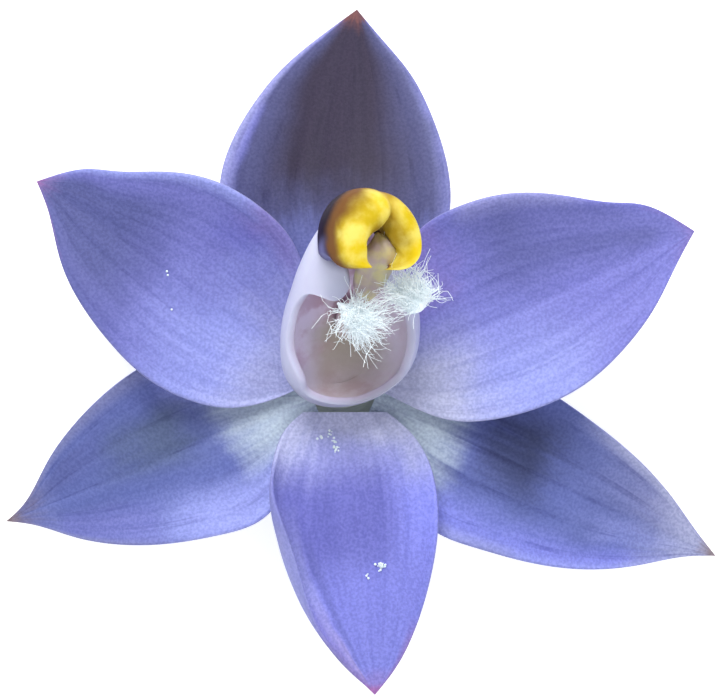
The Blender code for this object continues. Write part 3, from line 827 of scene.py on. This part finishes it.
def hoodLoop(turn):  # radius, share of length and share of the way in, round the wall at one turn
    fromCrease = turn - hood["crease"]
    side = fromCrease / (hood["ends"][0 if fromCrease < 0 else 1] - hood["crease"])
    cleft = swell(fromCrease, 0, hood["creaseWidth"])
    jowl = swell(abs(turn), *hood["jowlTurn"])
    outer = hood["outer"] + hood["sideBulge"] * math.sin(math.radians(turn)) ** 2
    outer += hood["jowls"][0 if turn < 0 else 1] * jowl
    outer -= hood["creaseDepth"][0] * cleft + hood["endThinning"] * side**4
    inner = float(smoothCurve(hood["innerAt"], hood["inner"], side))
    inner += hood["notch"] * swell(turn, *hood["notchTurn"])
    middle, half = (outer + inner) / 2, (outer - inner) / 2

    brow = hood["brow"] + sum(rise * ramp(side, *where) for rise, *where in hood["browRise"])
    bulge = 1 - brow - hood["creaseDepth"][1] * cleft
    front = []
    for a in np.linspace(0, math.pi, hood["frontSteps"]):
        front.append((middle + half * math.cos(a), brow + bulge * math.sin(a) ** hood["bulgePower"]))
    wayOut = max(inner, outer - hood["throatWall"]) - inner
    throat = [(inner + wayOut * share, brow - depth) for share, depth in hood["throat"]]
    collar = [(outer - depth, share) for depth, share in hood["collar"]]
    loop = np.array(front + throat + collar)

    start = sum(rise * ramp(abs(turn), *where) for rise, *where in hood["collarRise"])
    start *= min(1.0, brow / hood["fullBrow"])
    behind = loop[:, 1] < brow
    loop[behind, 1] = start + (brow - start) * loop[behind, 1] / brow
    size = hood["endSize"] + (1 - hood["endSize"]) * math.sqrt(1 - ramp(side, hood["roundFrom"], 1) ** 2)
    centre = np.array((middle, brow))
    swollen = slice(len(front))
    loop[swollen] = centre + (loop[swollen] - centre) * size
    if turn < 0:
        loop[:, 1] *= 1 - hood["jowlDrop"] * jowl
    return np.column_stack([loop, ramp(loop[:, 0], outer, inner)])


hoodTones = {
    "collarBlue": (0.05, 0.05, 0.13),
    "collarBlack": (0.015, 0.009, 0.02),
    "brown": (0.16, 0.07, 0.022),
    "lowBlue": (0.2, 0.2, 0.42),
    "yellow": (0.68, 0.50, 0.012),
    "paleYellow": (0.75, 0.63, 0.13),
    "seam": (0.55, 0.33, 0.01),
}


def hoodFinish():
    material, tree, shader = newFinish("hood_finish", 0.45, subsurface=0.2, radius=0.3, specular=0.04)
    share, turn = mark(tree, "share"), mark(tree, "turn")  # turns are in half circles from the top
    spot = placeInMm(tree)
    cloud = swing(tree, spot, 1.6, detail=4)
    away = nudge(tree, share, cloud, 0.13)
    away = nudge(tree, away, span(tree, turn, (-0.62, -0.4, -0.25, -0.08)), -0.13)
    away = nudge(tree, away, span(tree, turn, (-0.15, 0.0, 0.42, 0.55)), -0.1)
    dark = ease(tree, away, -0.1, 0.08)
    colour = blend(tree, dark, hoodTones["collarBlue"], hoodTones["collarBlack"])
    colour = blend(tree, ease(tree, away, 0.42, 0.64), colour, hoodTones["brown"])
    low = product(tree, fall(tree, turn, -0.68, -0.56), fall(tree, away, 0.3, 0.6))
    colour = wash(tree, colour, hoodTones["lowBlue"], low, strength=0.75)
    yellow = blend(tree, ease(tree, cloud, -0.15, 0.2), hoodTones["yellow"], hoodTones["paleYellow"])
    colour = blend(tree, ease(tree, away, 0.66, 0.94), colour, yellow)
    seam = fall(tree, calc(tree, "ABSOLUTE", turn), 0.0, 0.1)
    seam = product(tree, seam, ease(tree, share, 0.6, 0.9))
    paint(tree, shader, wash(tree, colour, hoodTones["seam"], seam, strength=0.4))
    addBump(tree, shader, grain(tree, spot, 5.0), 0.12)
    return material


def makeHood():
    openSide = np.array((hood["lean"], -1.0, 0.0))
    openSide = unit(openSide - hoodForward * hoodForward.dot(openSide))
    right = np.cross(hoodForward, openSide)
    toHole = hood["hole"][0] * right - hood["hole"][1] * openSide
    rows, shares, turns = [], [], []
    for turn in np.linspace(*hood["ends"], hood["turns"] + 1):
        loop = hoodLoop(turn)
        outward = math.sin(math.radians(turn)) * right - math.cos(math.radians(turn)) * openSide
        rows.append(pathPoints(hood["spine"], loop[:, 1]) + loop[:, :1] * outward + loop[:, 2:] * toHole)
        share = loop[:, 1].copy()
        lining = slice(*hood["lining"])
        share[lining] = np.maximum(share[lining], hood["liningShare"])
        shares.append(share)
        turns.append(np.full(len(loop), turn / 180))
    for end in (0, -1):
        middle = rows[end].mean(axis=0)
        for size in hood["caps"]:
            cap = middle + (rows[end] - middle) * size
            where = 0 if end == 0 else len(rows)
            rows.insert(where, cap)
            shares.insert(where, shares[end])
            turns.insert(where, turns[end])
    obj = closedSkin("fine_hood", rows, {"share": shares, "turn": turns}, hoodFinish())
    place(addSubdivision(obj, 1), "hood_flesh", "column_hood")
    print("hood done")


# Anther and stigma

anther = {
    "path": ((0.55, 4.1, 9.9), (0.66, 3.6, 9.95), (0.5, 3.0, 9.5), (0.24, 2.3, 8.85), (0.1, 1.7, 8.3)),
    "radii": (0.05, 0.6, 0.64, 0.58, 0.45, 0.05),
    "rings": 40,
    "sides": 48,
    "squeeze": 0.7,
    "groove": 0.22,
}
stigma = {
    "at": (0.42, 0.45, -0.98),  # share of the column's path, offsets to its right and front
    "halfWidth": 0.62,
    "halfLength": 0.9,
    "height": 0.2,
    "dish": (0.5, 0.3),  # depth and width of the hollow
    "rings": 24,
    "sides": 48,
}
limbShape = {"upward": (0.05, -0.6, 0.8), "thinnest": 0.02, "grooveWidth": 0.3}


def limb(path, radii, rings, sides, squeeze=1.0, groove=0.0):  # a stem that closes at both ends
    shares = np.linspace(0, 1, rings)
    centres = pathPoints(path, shares)
    reach = smoothCurve(np.linspace(0, 1, len(radii)), radii, shares)
    reach = np.clip(reach, limbShape["thinnest"], None)
    angles = circleAngles(sides)
    fromTop = (angles - math.pi / 2 + math.pi) % (2 * math.pi) - math.pi
    dip = 1 - groove * swell(fromTop, 0, limbShape["grooveWidth"])
    rows = [np.repeat(centres[:1], sides, axis=0)]
    for centre, radius, slope in zip(centres, reach, np.gradient(centres, axis=0)):
        forward = unit(slope)
        right = unit(np.cross(forward, limbShape["upward"]))
        ahead = np.cross(right, forward)
        flat = np.outer(np.cos(angles) * radius * dip, right)
        rows.append(centre + (flat + np.outer(np.sin(angles) * radius * squeeze * dip, ahead)))
    rows.append(np.repeat(centres[-1:], sides, axis=0))
    return np.array(rows)


def glandFinish(name, dark, light):
    material, tree, shader = newFinish(name, 0.4, subsurface=0.3, radius=0.3)
    spot = placeInMm(tree)
    cloud = grain(tree, spot, 2.0, detail=5)
    paint(tree, shader, blend(tree, ease(tree, cloud, 0.3, 0.7), dark, light))
    addBump(tree, shader, grain(tree, spot, 8.0), 0.2)
    return material


def makeAnther():
    rows = limb(*(anther[key] for key in ("path", "radii", "rings", "sides", "squeeze", "groove")))
    finish = glandFinish("anther_finish", (0.46, 0.36, 0.36), (0.58, 0.52, 0.27))
    place(closedSkin("fine_anther", rows, {}, finish), "anther_flesh", "anther")
    print("anther done")


def makeStigma():
    share, sideways, ahead = stigma["at"]
    centre, right, front = columnFrame(share)
    middle = centre + sideways * right + ahead * front
    forward = np.cross(front, right)
    angles = circleAngles(stigma["sides"])
    hollow, width = stigma["dish"]
    rows = []
    for polar in np.linspace(0, math.pi, stigma["rings"] + 1):
        x, depth = math.sin(polar) * np.sin(angles), math.sin(polar) * np.cos(angles)
        dish = 1 - hollow * np.exp(-(x**2 + math.cos(polar) ** 2) / width) * (depth > 0)
        spread = np.outer(x * stigma["halfWidth"], right) + math.cos(polar) * stigma["halfLength"] * forward
        rows.append(middle + spread + np.outer(depth * dish * stigma["height"], front))
    finish = glandFinish("stigma_finish", (0.60, 0.48, 0.52), (0.55, 0.48, 0.42))
    place(closedSkin("fine_stigma", rows, {}, finish), "anther_flesh", "stigma")
    print("stigma done")


# Hair tufts

tufts = {
    "left_hair_tuft": {
        "arm": ((-0.78, 1.68, 8.9), (-0.56, 1.53, 9.2), (-0.21, 1.27, 9.6), (0.18, 0.93, 9.9)),
        "armRadii": (0.06, 0.09, 0.17, 0.3, 0.34, 0.18),
        "lean": (0.75, -0.35, 0.35),
        "strayLean": (-0.1, -0.8, 0.2),
        "strayLength": 1.15,
        "seed": 3,
    },
    "right_hair_tuft": {
        "arm": ((1.45, 1.98, 8.45), (1.65, 1.78, 9.0), (1.85, 1.73, 9.5), (1.99, 1.83, 9.85)),
        "armRadii": (0.06, 0.1, 0.2, 0.34, 0.38, 0.2),
        "lean": (-0.4, 0.95, 0.3),
        "strayLean": (-0.25, 1.7, 0.3),
        "strayLength": 1.5,
        "seed": 11,
    },
}
hairs = {
    "count": 520,
    "strays": 45,
    "straySeedStep": 50,
    "length": 0.8,
    "shortest": 0.45,  # share of the length
    "thickness": 0.0145,
    "taper": 0.45,
    "curl": 0.6,
    "waves": ((1.1, 2.8), (2.2, 2.2)),  # how fine and how strong, for whole clumps and for each hair
    "bow": (2.2, 0.6),  # power and strength
    "spread": 0.5,
    "outward": 0.65,
    "bareSide": -0.85,  # no hair where the skin faces so far away from the lean
    "bareRows": 3,  # rows at the foot of an arm without hair
    "points": 10,
    "armRings": 40,
    "armSides": 28,
}


def plantHairs(tree, given):  # straight hairs on the skin, each with its own size and way to bend
    outward = addNode(tree, "GeometryNodeInputNormal").outputs[0]
    facing = vectorCalc(tree, "DOT_PRODUCT", outward, given["Lean"])
    seed = given["Seed"]
    inputs = {
        "Mesh": given["Skin"],
        "Selection": calc(tree, "GREATER_THAN", facing, hairs["bareSide"]),
        "Density": given["Density"],
        "Seed": seed,
    }
    scatter = addNode(tree, "GeometryNodeDistributePointsOnFaces", inputs)
    inputs = {"Min": (-1, -1, -1), "Max": (1, 1, 1), "Seed": seed}
    wild = addNode(tree, "FunctionNodeRandomValue", inputs, data_type="FLOAT_VECTOR").outputs[0]
    inputs = {2: hairs["shortest"], 3: 1.0, "Seed": seed}
    size = addNode(tree, "FunctionNodeRandomValue", inputs, data_type="FLOAT").outputs[1]
    inputs = {"Geometry": scatter.outputs["Points"], "Name": "bend", "Value": wild}
    stored = addNode(tree, "GeometryNodeStoreNamedAttribute", inputs, data_type="FLOAT_VECTOR").outputs[0]

    aim = vectorCalc(tree, "SCALE", wild, scale=hairs["spread"])
    aim = vectorCalc(tree, "ADD", scatter.outputs["Normal"], aim)
    aim = vectorCalc(tree, "SCALE", aim, scale=hairs["outward"])
    aim = vectorCalc(tree, "ADD", aim, given["Lean"])
    turned = addNode(tree, "FunctionNodeAlignRotationToVector", {"Vector": aim}, axis="Z").outputs[0]
    straight = addNode(tree, "GeometryNodeCurvePrimitiveLine", {"End": (0, 0, 1)}).outputs[0]
    inputs = {"Curve": straight, "Count": hairs["points"]}
    stepped = addNode(tree, "GeometryNodeResampleCurve", inputs).outputs[0]
    inputs = {
        "Points": stored,
        "Instance": stepped,
        "Rotation": turned,
        "Scale": product(tree, given["Length"], size),
    }
    planted = addNode(tree, "GeometryNodeInstanceOnPoints", inputs).outputs[0]
    return addNode(tree, "GeometryNodeRealizeInstances", {0: planted}).outputs[0]


def curlHairs(tree, given, straight, share):
    stored = addNode(tree, "GeometryNodeInputNamedAttribute", {"Name": "bend"}, data_type="FLOAT_VECTOR")
    bend = stored.outputs[0]
    where = addNode(tree, "GeometryNodeInputPosition").outputs[0]
    spot = vectorCalc(tree, "SCALE", where, scale=1 / mm)
    ownSpot = vectorCalc(tree, "ADD", spot, vectorCalc(tree, "MULTIPLY", bend, (3.0, 5.0, 4.0)))
    pushes = []
    for vector, (scale, strength) in zip((spot, ownSpot), hairs["waves"]):
        inputs = {"Vector": vector, "Scale": scale, "Detail": 0.0}
        noise = addNode(tree, "ShaderNodeTexNoise", inputs).outputs["Color"]
        push = vectorCalc(tree, "SUBTRACT", noise, (0.5, 0.5, 0.5))
        pushes.append(vectorCalc(tree, "SCALE", push, scale=product(tree, share, strength)))
    power, strength = hairs["bow"]
    bow = product(tree, calc(tree, "POWER", share, power), strength)
    moved = vectorCalc(tree, "SCALE", bend, scale=bow)
    moved = vectorCalc(tree, "ADD", moved, vectorCalc(tree, "ADD", *pushes))
    moved = vectorCalc(tree, "SCALE", moved, scale=product(tree, given["Curl"], given["Length"]))
    return addNode(tree, "GeometryNodeSetPosition", {"Geometry": straight, "Offset": moved}).outputs[0]


def hairTree(finish):
    tree = bpy.data.node_groups.new("hair_brush", "GeometryNodeTree")
    sockets = {
        "Skin": "Geometry",
        "Density": "Float",
        "Length": "Float",
        "Thickness": "Float",
        "Curl": "Float",
        "Lean": "Vector",
        "Seed": "Int",
    }
    for name, kind in sockets.items():
        tree.interface.new_socket(name, in_out="INPUT", socket_type="NodeSocket" + kind)
    tree.interface.new_socket("Hairs", in_out="OUTPUT", socket_type="NodeSocketGeometry")
    given = addNode(tree, "NodeGroupInput").outputs
    share = addNode(tree, "GeometryNodeSplineParameter").outputs["Factor"]
    curled = curlHairs(tree, given, plantHairs(tree, given), share)
    slimmer = calc(tree, "SUBTRACT", 1.0, product(tree, share, hairs["taper"]))
    ring = addNode(tree, "GeometryNodeCurvePrimitiveCircle", {"Resolution": 3, "Radius": 1.0}).outputs[0]
    inputs = {
        "Curve": curled,
        "Profile Curve": ring,
        "Scale": product(tree, given["Thickness"], slimmer),
        "Fill Caps": True,
    }
    skin = addNode(tree, "GeometryNodeCurveToMesh", inputs).outputs[0]
    smooth = addNode(tree, "GeometryNodeSetShadeSmooth", {"Geometry": skin}).outputs[0]
    whole = addNode(tree, "GeometryNodeRealizeInstances", {0: smooth}).outputs[0]
    dressed = addNode(tree, "GeometryNodeSetMaterial", {"Geometry": whole, "Material": finish}).outputs[0]
    addNode(tree, "NodeGroupOutput", {"Hairs": dressed})
    return tree


def growOn(source, tree, values, name):  # a plain mesh of what the tree grows on the source
    modifier = source.modifiers.new("grow", "NODES")
    modifier.node_group = tree
    sockets = {s.name: s.identifier for s in tree.interface.items_tree if s.in_out == "INPUT"}
    for key, value in values.items():
        modifier[sockets[key]] = value
    bpy.context.view_layer.update()
    grown = source.evaluated_get(bpy.context.evaluated_depsgraph_get())
    mesh = bpy.data.meshes.new_from_object(grown)
    source.modifiers.remove(modifier)
    mesh.name = name
    return newObject(name, mesh)


def hairFinish():
    material, tree, shader = newFinish("hair_finish", 0.5)
    colour = blend(tree, grain(tree, placeInMm(tree), 2.5), (0.82, 0.93, 0.98), (0.93, 0.98, 1.0))
    tree.links.new(colour, shader.inputs["Emission Color"])
    shader.inputs["Emission Strength"].default_value = 0.08  # light that passes through the clear hairs
    paint(tree, shader, colour)
    return material


def makeTufts():
    finish = hairFinish()
    tree = hairTree(finish)
    for name, spec in tufts.items():
        rows = limb(spec["arm"], spec["armRadii"], hairs["armRings"], hairs["armSides"])
        arm = closedSkin("arm_of_" + name, rows, {}, finish)
        haired = closedSkin("root_of_" + name, rows[hairs["bareRows"] :], {}, finish)
        area = sum(p.area for p in haired.data.polygons)
        straySeed = spec["seed"] + hairs["straySeedStep"]
        for kind, count, length, lean, seed in (
            ("brush_of_", hairs["count"], hairs["length"], spec["lean"], spec["seed"]),
            ("strays_of_", hairs["strays"], spec["strayLength"], spec["strayLean"], straySeed),
        ):
            values = {
                "Density": count / area,
                "Length": length * mm,
                "Thickness": hairs["thickness"] * mm,
                "Curl": hairs["curl"],
                "Lean": lean,
                "Seed": seed,
            }
            place(growOn(haired, tree, values, kind + name), "hair_mass", name)
        bpy.data.objects.remove(haired)
        place(arm, "hair_mass", name)
    print("hair tufts:", len(tufts))


# Pollen spilt on the blades

pollen = {
    "heaps": {  # across, up and count of each little heap
        "labellum": (
            (-1.45, -2.94, 3),
            (-1.07, -2.84, 7),
            (-0.98, -3.1, 7),
            (-0.9, -3.36, 10),
            (0.7, -7.43, 22),
            (0.29, -7.78, 3),
        ),
        "left_petal": ((-6.7, 2.69, 2), (-6.57, 1.41, 1)),
    },
    "scatter": 0.055,
    "radius": (0.025, 0.055),
    "lift": 0.6,  # share of its radius that a grain's middle lies above the skin
    "seed": 5,
}


def pollenFinish():
    material, tree, shader = newFinish("pollen_finish", 0.6, subsurface=0.3, radius=0.1)
    colour = blend(tree, grain(tree, placeInMm(tree), 8.0), (0.62, 0.74, 0.86), (0.92, 0.97, 1.0))
    paint(tree, shader, colour)
    return material


def makePollen():
    material = pollenFinish()
    chance = random.Random(pollen["seed"])
    for name, heaps in pollen["heaps"].items():
        top = bladeGrid(name, tepals[name])[0].reshape(-1, 3)
        builder = bmesh.new()
        for x, y, count in heaps:
            for number in range(count):
                grainX = x + chance.gauss(0, pollen["scatter"])
                grainY = y + chance.gauss(0, pollen["scatter"])
                toGrain = top[:, :2] - np.array((grainX, grainY))
                height = top[np.argmin(np.linalg.norm(toGrain, axis=1)), 2]
                radius = chance.uniform(*pollen["radius"])
                middle = Vector((grainX, grainY, height + radius * pollen["lift"])) * mm
                spot = Matrix.Translation(middle)
                bmesh.ops.create_icosphere(builder, subdivisions=2, radius=radius * mm, matrix=spot)
        mesh = bpy.data.meshes.new("pollen_on_" + name)
        builder.to_mesh(mesh)
        builder.free()
        mesh.materials.append(material)
        place(newObject(mesh.name, mesh), tepals[name]["slot"], name)
    print("pollen heaps:", sum(len(heaps) for heaps in pollen["heaps"].values()))


# Ovary and cut stalk

ovary = {
    "hub": (-0.6, -1.25),
    "disc": ((0, 4.1), (0.55, 4.1), (0.65, 4.03), (0.7, 3.55), (1.0, 3.5), (1.75, 3.5)),  # radius and height
    "path": (
        (0, 0, 3.5),
        (0, -0.05, 3.1),
        (0.02, -0.4, 2.4),
        (0.08, -1.5, 1.65),
        (0.2, -3.6, 1.4),
        (0.35, -6.0, 1.3),
        (0.5, -8.0, 0.85),
        (0.55, -9.3, 0.62),
    ),
    "radii": (1.9, 1.6, 1.35, 1.45, 1.5, 1.35, 0.85, 0.62),
    "ribs": 6,
    "ribHeight": 0.06,
    "ribLength": 1.4,
    "cut": ((0.8, 0.0), (0.7, 0.05), (0.0, 0.06)),  # share of the radius and depth of the cut face
    "sides": 96,
    "rings": 90,
}


def ovaryFinish():
    material, tree, shader = newFinish("ovary_finish", 0.45, subsurface=0.2, radius=0.4)
    spot = placeInMm(tree)
    cloud = ease(tree, grain(tree, spot, 0.8, detail=4), 0.3, 0.7)
    colour = blend(tree, cloud, (0.13, 0.17, 0.10), (0.22, 0.27, 0.16))
    flush = ease(tree, grain(tree, spot, 0.4), 0.5, 0.75)
    colour = blend(tree, flush, colour, (0.2, 0.1, 0.12))
    # painted light: the ovary's top, in the shade of the cup, is painted paler
    height = addNode(tree, "ShaderNodeSeparateXYZ", {0: spot}).outputs[2]
    paint(tree, shader, blend(tree, ease(tree, height, 2.6, 3.4), colour, (0.42, 0.47, 0.40)))
    addBump(tree, shader, grain(tree, spot, 5.0), 0.2)
    return material


def makeOvary():
    shares = np.linspace(0, 1, ovary["rings"])
    hub = np.array((*ovary["hub"], 0))
    centres = pathPoints(ovary["path"], shares) + hub
    radii = smoothCurve(lengthShares(np.array(ovary["path"])), ovary["radii"], shares)
    tangents = np.gradient(centres, axis=0)
    tangents[0] = (0, 0, -1)
    angles = circleAngles(ovary["sides"])
    circle = np.stack([np.cos(angles), np.sin(angles), np.zeros(len(angles))], axis=1)
    rows = [hub + (0, 0, height) + circle * radius for radius, height in ovary["disc"]]
    for centre, radius, tangent, share in zip(centres, radii, tangents, shares):
        forward = unit(tangent)
        right = unit(np.array((1.0, 0, 0)) - forward * forward[0])
        rib = ovary["ribHeight"] * math.sin(math.pi * min(1, share * ovary["ribLength"])) ** 2
        reach = radius * (1 + rib * np.cos(ovary["ribs"] * angles))
        flat = np.outer(reach * np.cos(angles), right)
        ring = centre + flat + np.outer(reach * np.sin(angles), np.cross(right, forward))
        ring[:, 2] = np.maximum(ring[:, 2], 0)  # the underside lies flat on the surface
        rows.append(ring)
    end, stalk = centres[-1], rows[-1]
    for size, depth in ovary["cut"]:
        rows.append(end + (stalk - end) * size - unit(tangents[-1]) * depth)
    place(closedSkin("fine_ovary", rows, {}, ovaryFinish()), "green_flesh", "ovary")
    print("ovary done")


# Surface, light and camera

stage = {
    "floor": 0.6,  # half its side, in metres, like the lamps' places and sizes
    "floorColour": (0.9, 0.9, 0.9, 1),
    "floorGlow": 0.62,
    "sky": (0.95, 0.97, 1.0, 1),
    "skyStrength": 0.62,
    "lamps": {
        "key": {"at": (-0.05, 0.22, 0.3), "size": 0.16, "power": 1.25},
        "fill": {"at": (0.15, -0.2, 0.3), "size": 0.25, "power": 0.25},
    },
}
view = {"height": 300.0, "level": 3.0, "width": 25.2, "centre": (-0.03, 0.12), "sensor": 36}


def makeFloor():
    mesh = bpy.data.meshes.new("floor")
    reach = stage["floor"]
    corners = [(-reach, -reach, 0), (reach, -reach, 0), (reach, reach, 0), (-reach, reach, 0)]
    mesh.from_pydata(corners, [], [(0, 1, 2, 3)])
    material, tree, shader = newFinish("floor_finish", 0.9, specular=0.0)
    shader.inputs["Base Color"].default_value = stage["floorColour"]
    shader.inputs["Emission Color"].default_value = (1, 1, 1, 1)
    shader.inputs["Emission Strength"].default_value = stage["floorGlow"]
    mesh.materials.append(material)
    floor = newObject("floor", mesh)


def makeLight():
    world = bpy.data.worlds.new("sky")
    bpy.context.scene.world = world
    world.use_nodes = True
    background = world.node_tree.nodes["Background"]
    background.inputs["Color"].default_value = stage["sky"]
    background.inputs["Strength"].default_value = stage["skyStrength"]
    for name, spec in stage["lamps"].items():
        lamp = bpy.data.lights.new(name, "AREA")
        lamp.size = spec["size"]
        lamp.energy = spec["power"]
        obj = newObject(name, lamp)
        obj.location = spec["at"]
        obj.rotation_euler = (-Vector(spec["at"])).to_track_quat("-Z", "Y").to_euler()


def makeCamera():  # straight above, wide enough for the flower at the level of its blades
    camera = bpy.data.cameras.new("camera")
    camera.sensor_width = view["sensor"]
    camera.lens = view["sensor"] * (view["height"] - view["level"]) / view["width"]
    camera.clip_start = 0.01
    eye = newObject("camera", camera)
    eye.location = Vector((*view["centre"], view["height"])) * mm
    bpy.context.scene.camera = eye
    bpy.context.scene.view_settings.view_transform = "Standard"


makeFloor()
makeLight()
makeCamera()
print("stage done")
makeTepals()
makeOvary()
makePouch()
makeHood()
makeAnther()
makeStigma()
makeTufts()
makePollen()
